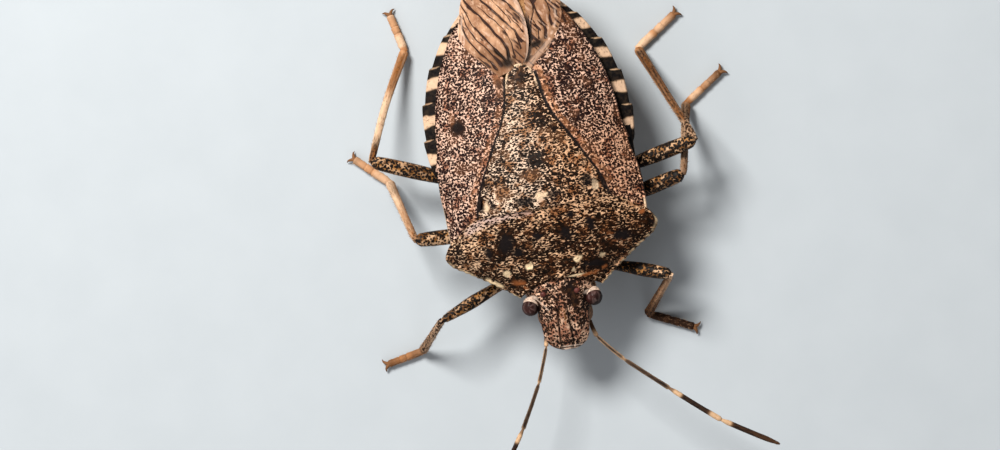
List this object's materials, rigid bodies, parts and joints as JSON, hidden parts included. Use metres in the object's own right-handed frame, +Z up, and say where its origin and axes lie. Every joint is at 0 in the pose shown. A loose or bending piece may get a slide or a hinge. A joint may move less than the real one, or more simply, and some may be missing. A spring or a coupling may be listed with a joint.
{
  "type": "shield bug",
  "caption": "Brown shield bug standing on six bent legs, head low and feelers spread forward, a still life-size museum model.",
  "frame": {"origin": "on the floor, under the middle of the whole animal's box, feelers and feet included", "axes": "+Z up from the floor; the head points to -Y and the tail to +Y; +X is the bug's own left side"},
  "size_m": [0.0156, 0.022, 0.0052],
  "materials": {
    "head": "satin shell, brown with fine dark pits",
    "eye": "glossy maroon",
    "beak": "satin brown",
    "feeler": "satin dark brown with pale bands",
    "shield": "satin shell, brown with fine dark pits",
    "scutellum": "satin shell, tan with fine dark pits",
    "corium": "satin shell, reddish brown with fine dark pits",
    "membrane": "silky golden tan with dark veins",
    "belly": "satin pale tan with fine pits",
    "abdomen": "satin pale tan, border banded black and cream",
    "thigh": "satin ochre mottled black",
    "shin": "satin ochre brown with a pale band",
    "foot": "satin orange brown"
  },
  "bodies": {
    "root": {"head": "head", "eye_left": "eye", "eye_right": "eye", "beak": "beak", "antenna_left": "feeler", "antenna_right": "feeler", "pronotum": "shield", "scutellum": "scutellum", "wing_left": "corium", "wing_right": "corium", "membrane_left": "membrane", "membrane_right": "membrane", "thorax": "belly", "abdomen": "abdomen", "femur_front_left": "thigh", "femur_front_right": "thigh", "femur_middle_left": "thigh", "femur_middle_right": "thigh", "femur_hind_left": "thigh", "femur_hind_right": "thigh", "tibia_front_left": "shin", "tibia_front_right": "shin", "tibia_middle_left": "shin", "tibia_middle_right": "shin", "tibia_hind_left": "shin", "tibia_hind_right": "shin", "tarsus_front_left": "foot", "tarsus_front_right": "foot", "tarsus_middle_left": "foot", "tarsus_middle_right": "foot", "tarsus_hind_left": "foot", "tarsus_hind_right": "foot"}
  },
  "joints": []
}
